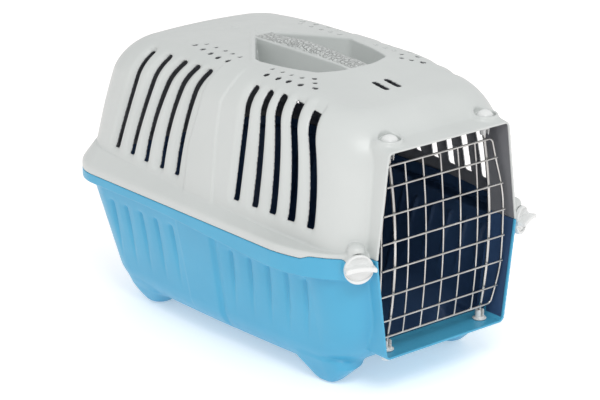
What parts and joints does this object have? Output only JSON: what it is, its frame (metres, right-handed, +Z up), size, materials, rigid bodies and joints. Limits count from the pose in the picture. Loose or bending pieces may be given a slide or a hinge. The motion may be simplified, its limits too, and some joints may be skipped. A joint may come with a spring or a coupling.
{
  "type": "pet transport carrier",
  "caption": "Two-part moulded carrier for a small animal: slotted lid with carry handle, deep ribbed tray, bowed wire door, turn knobs and door latches.",
  "frame": {"origin": "on the floor under the middle of the whole carrier", "axes": "+Z up, -Y out through the door, +X to the right of someone facing the rear from the door"},
  "size_m": [0.315, 0.4914, 0.331],
  "materials": {
    "shell_grey": "satin moulded",
    "tray_blue": "satin moulded",
    "lock_white": "smooth moulded",
    "door_steel": "bright plated wire"
  },
  "bodies": {
    "tray": {"lower_tray": "tray_blue", "left_rod_socket": "lock_white", "right_rod_socket": "lock_white"},
    "lid": {"upper_shell": "shell_grey"},
    "door": {"door_frame_wire": "door_steel", "door_latch_rod": "door_steel", "door_hinge_rod": "door_steel", "door_upright_wire_1": "door_steel", "door_upright_wire_2": "door_steel", "door_upright_wire_3": "door_steel", "door_upright_wire_4": "door_steel", "door_upright_wire_5": "door_steel", "door_cross_wire_1": "door_steel", "door_cross_wire_2": "door_steel", "door_cross_wire_3": "door_steel", "door_cross_wire_4": "door_steel", "door_cross_wire_5": "door_steel", "door_cross_wire_6": "door_steel"},
    "left_knob": {"left_turn_knob": "lock_white", "left_knob_cam": "lock_white"},
    "right_knob": {"right_turn_knob": "lock_white", "right_knob_cam": "lock_white"},
    "left_latch": {"left_door_latch": "lock_white"},
    "right_latch": {"right_door_latch": "lock_white"}
  },
  "joints": [
    {"name": "door_swing", "type": "hinge", "parent": "tray", "child": "door", "pos_m": [0.068, -0.22055, 0.16], "axis": [0, 0, 1], "range_deg": [0, 110]},
    {"name": "lid_swing", "type": "hinge", "parent": "tray", "child": "lid", "pos_m": [0, 0.2447, 0.16], "axis": [-1, 0, 0], "range_deg": [0, 90]},
    {"name": "left_knob_turn", "type": "hinge", "parent": "tray", "child": "left_knob", "pos_m": [-0.1185, -0.233, 0.1565], "axis": [-0.4067, -0.9135, 0], "range_deg": [0, 90]},
    {"name": "right_knob_turn", "type": "hinge", "parent": "tray", "child": "right_knob", "pos_m": [0.1185, -0.233, 0.1565], "axis": [0.4067, -0.9135, 0], "range_deg": [-90, 0]},
    {"name": "left_latch_turn", "type": "hinge", "parent": "lid", "child": "left_latch", "pos_m": [-0.068, -0.22055, 0.28], "axis": [0, 0, 1], "range_deg": [0, 90]},
    {"name": "right_latch_turn", "type": "hinge", "parent": "lid", "child": "right_latch", "pos_m": [0.068, -0.22055, 0.28], "axis": [0, 0, 1], "range_deg": [-90, 0]}
  ]
}
